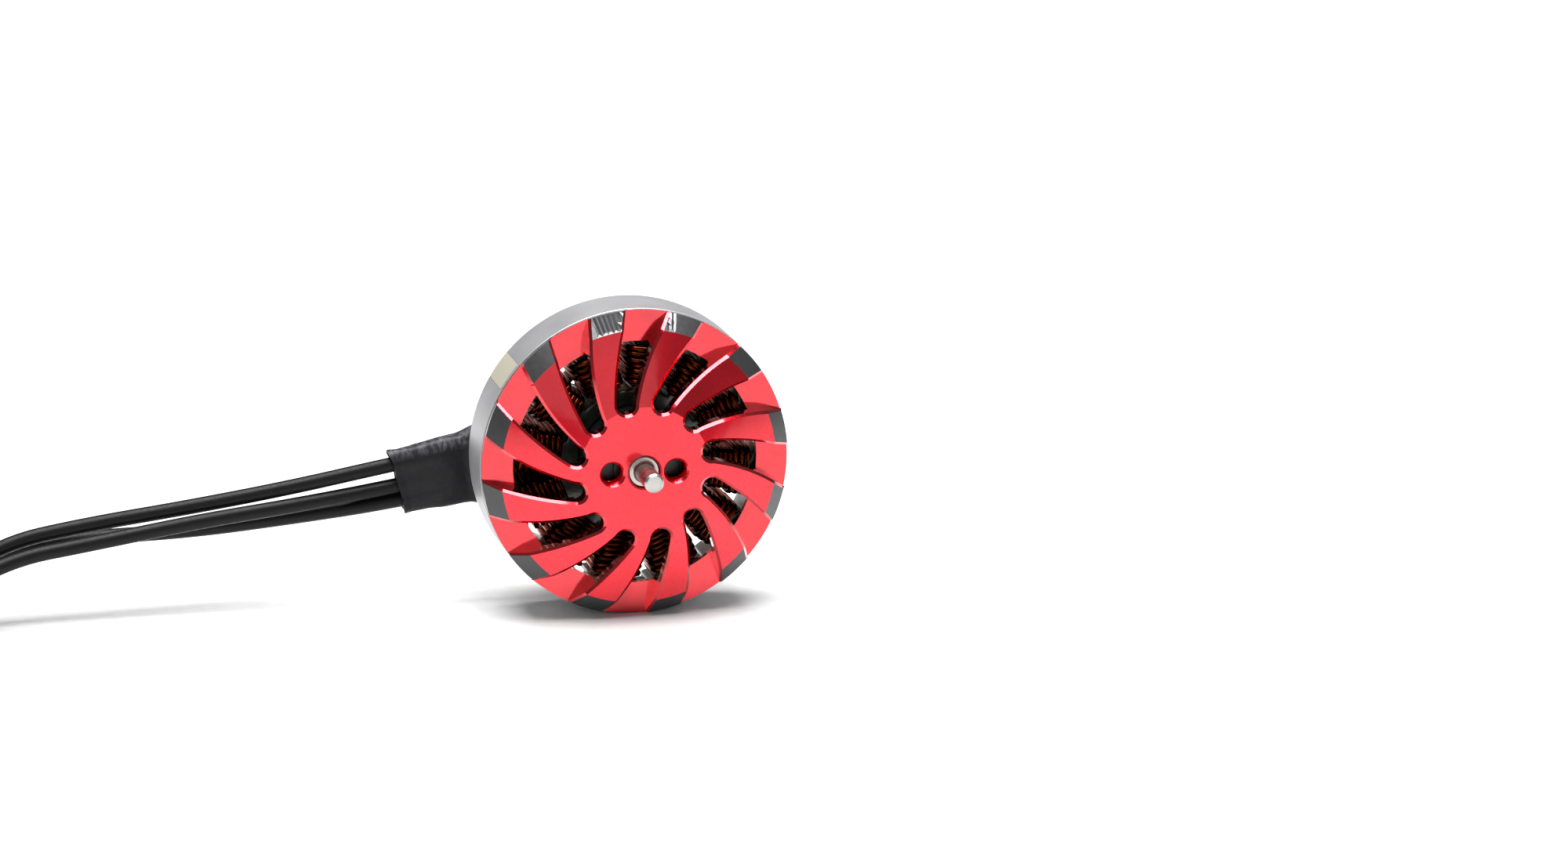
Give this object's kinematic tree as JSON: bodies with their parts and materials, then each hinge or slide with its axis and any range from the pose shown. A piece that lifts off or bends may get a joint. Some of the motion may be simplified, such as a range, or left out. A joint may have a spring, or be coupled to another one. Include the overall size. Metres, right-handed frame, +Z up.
{
  "type": "brushless outrunner motor",
  "caption": "Small brushless outrunner motor: a red finned bell spins on a shaft in two ball bearings around a wound stator on a black cross-shaped base with three flying leads.",
  "frame": {"origin": "centre of the base's flat mounting face, on the shaft axis", "axes": "+Y out of the mounting face along the shaft, -Y towards the propeller; +Z up when the motor lies on its bell; the leads leave towards -X"},
  "size_m": [0.0816, 0.0291, 0.0242],
  "materials": {
    "red_anodised": "satin anodised red aluminium",
    "ring_steel": "satin grey coated steel",
    "magnet_nickel": "nickel plated, finely speckled",
    "epoxy_black": "glossy black epoxy",
    "balance_putty": "matt dark brown putty",
    "shaft_steel": "turned stainless steel",
    "washer_brass": "plain brass",
    "clip_steel": "phosphated black spring steel",
    "bearing_steel": "ground bearing steel",
    "ball_steel": "polished",
    "cage_steel": "pressed steel",
    "black_anodised": "satin anodised black aluminium",
    "shield_steel": "pressed steel",
    "stator_green": "green insulating powder coat on silicon steel laminations",
    "copper_enamel": "enamelled copper wire under clear varnish",
    "lead_sleeving": "black woven sleeving",
    "solder": "solder",
    "heat_shrink": "satin black heat-shrink",
    "wire_silicone": "soft black silicone insulation",
    "tie_plastic": "black nylon"
  },
  "bodies": {
    "stator": {"base": "black_anodised", "lower_bearing_outer_ring": "bearing_steel", "upper_bearing_outer_ring": "bearing_steel", "lower_bearing_shields": "shield_steel", "upper_bearing_shields": "shield_steel", "stator_core": "stator_green", "winding_phase_a": "copper_enamel", "winding_phase_b": "copper_enamel", "winding_phase_c": "copper_enamel", "lead_sleeve_a": "lead_sleeving", "lead_sleeve_b": "lead_sleeving", "lead_sleeve_c": "lead_sleeving", "star_point_sleeve": "lead_sleeving", "solder_joints": "solder", "heat_shrink_sleeve": "heat_shrink", "phase_wire_a": "wire_silicone", "phase_wire_b": "wire_silicone", "phase_wire_c": "wire_silicone", "wire_coil": "wire_silicone", "tinned_ends": "solder", "wire_tie": "tie_plastic"},
    "bell": {"bell_cap": "red_anodised", "flux_ring": "ring_steel", "magnets": "magnet_nickel", "magnet_adhesive": "epoxy_black", "balance_putty": "balance_putty", "shaft": "shaft_steel", "upper_spacer": "shaft_steel", "shim_washer": "washer_brass", "retaining_clip": "clip_steel", "lower_bearing_inner_ring": "bearing_steel", "upper_bearing_inner_ring": "bearing_steel"},
    "lower_ball_set": {"lower_bearing_balls": "ball_steel", "lower_bearing_cage": "cage_steel"},
    "upper_ball_set": {"upper_bearing_balls": "ball_steel", "upper_bearing_cage": "cage_steel"}
  },
  "joints": [
    {"name": "bell_spin", "type": "hinge", "parent": "stator", "child": "bell", "pos_m": [0, 0, 0], "axis": [0, -1, 0], "continuous": true},
    {"name": "lower_balls_roll", "type": "hinge", "parent": "stator", "child": "lower_ball_set", "pos_m": [0, -0.0026, 0], "axis": [0, -1, 0], "continuous": true},
    {"name": "upper_balls_roll", "type": "hinge", "parent": "stator", "child": "upper_ball_set", "pos_m": [0, -0.01035, 0], "axis": [0, -1, 0], "continuous": true}
  ],
  "couplings": [
    {"joint": "lower_balls_roll", "follows": "bell_spin", "ratio": 0.3818},
    {"joint": "upper_balls_roll", "follows": "bell_spin", "ratio": 0.3818}
  ]
}
